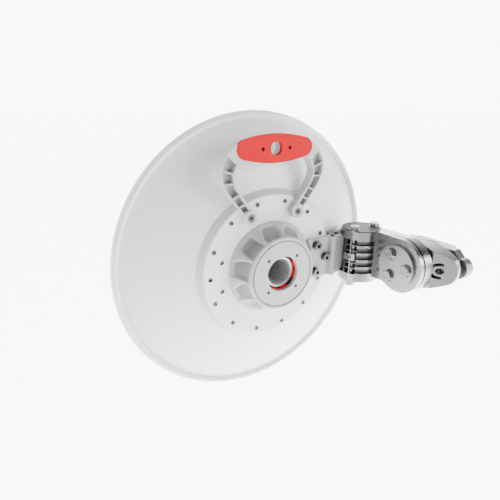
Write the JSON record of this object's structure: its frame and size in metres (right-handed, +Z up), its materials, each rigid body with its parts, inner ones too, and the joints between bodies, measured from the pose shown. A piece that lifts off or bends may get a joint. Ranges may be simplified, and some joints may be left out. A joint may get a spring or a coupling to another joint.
{
  "type": "dish antenna with pole clamp",
  "caption": "Parabolic dish antenna for an outdoor wireless link, with a ribbed rear radio port, a carrying handle and a pole clamp that turns in azimuth and elevation.",
  "frame": {"origin": "centre of the radio port's mouth on the hub's rear face", "axes": "+Y along the boresight, out of the dish; +Z up; +X towards the pole clamp, right as seen from behind"},
  "size_m": [0.439, 0.325, 0.406],
  "materials": {
    "white_paint": "satin",
    "hub_plastic": "matte",
    "red_plastic": "matte",
    "white_plastic": "matte",
    "grey_plastic": "matte",
    "cast_metal": "satin",
    "grey_cast": "satin",
    "steel": "brushed",
    "rubber_seal": "matte",
    "dark_cover": "satin",
    "drum_metal": "satin"
  },
  "bodies": {
    "pole_clamp": {"front_jaw": "cast_metal", "elevation_disc": "cast_metal", "elevation_washers": "steel", "elevation_bolts": "steel", "friction_washer": "grey_plastic"},
    "arm": {"arm_casting": "cast_metal", "azimuth_bolts": "steel", "azimuth_washers": "steel", "azimuth_nuts": "steel", "azimuth_pivot": "steel", "barrel_cover": "dark_cover", "barrel_tab": "cast_metal"},
    "antenna": {"reflector": "white_paint", "back_plate": "white_paint", "ring_screws": "steel", "handle_bolts": "steel", "grip_screws": "steel", "bracket_bolts": "steel", "bracket_washers": "steel", "hub_housing": "hub_plastic", "port_plate": "hub_plastic", "lock_carrier": "grey_plastic", "wave_guide": "grey_cast", "feed_tube": "grey_cast", "feed_screws": "steel", "feed_cone": "white_plastic", "feed_seal": "rubber_seal", "sub_reflector": "grey_cast", "feed_cap": "white_plastic", "handle_frame": "hub_plastic", "handle_grip": "red_plastic", "dish_bracket": "grey_cast", "azimuth_drum": "drum_metal", "drum_neck": "drum_metal"},
    "loose_jaw": {"rear_jaw": "cast_metal", "clamp_washers": "steel", "clamp_bolts": "steel"},
    "lock_right": {"lock_right": "red_plastic"},
    "lock_top": {"lock_top": "red_plastic"},
    "lock_left": {"lock_left": "red_plastic"},
    "lock_bottom": {"lock_bottom": "red_plastic"}
  },
  "joints": [
    {"name": "elevation", "type": "hinge", "parent": "pole_clamp", "child": "arm", "pos_m": [0.164, -0.055, 0], "axis": [1, 0, 0], "range_deg": [-20, 20]},
    {"name": "azimuth", "type": "hinge", "parent": "arm", "child": "antenna", "pos_m": [0.149, 0.014, 0], "axis": [0, 0, 1], "range_deg": [-16, 16]},
    {"name": "clamp_slide", "type": "slide", "parent": "pole_clamp", "child": "loose_jaw", "axis": [1, 0, 0], "range_m": [-0.006, 0.018]},
    {"name": "lock_right_slide", "type": "slide", "parent": "antenna", "child": "lock_right", "axis": [1, 0, 0], "range_m": [0, 0.0015], "stiffness_N_per_m": 1500, "springref_m": -0.0005},
    {"name": "lock_top_slide", "type": "slide", "parent": "antenna", "child": "lock_top", "axis": [0, 0, 1], "range_m": [0, 0.0015], "stiffness_N_per_m": 1500, "springref_m": -0.0005},
    {"name": "lock_left_slide", "type": "slide", "parent": "antenna", "child": "lock_left", "axis": [-1, 0, 0], "range_m": [0, 0.0015], "stiffness_N_per_m": 1500, "springref_m": -0.0005},
    {"name": "lock_bottom_slide", "type": "slide", "parent": "antenna", "child": "lock_bottom", "axis": [0, 0, -1], "range_m": [0, 0.0015], "stiffness_N_per_m": 1500, "springref_m": -0.0005}
  ]
}
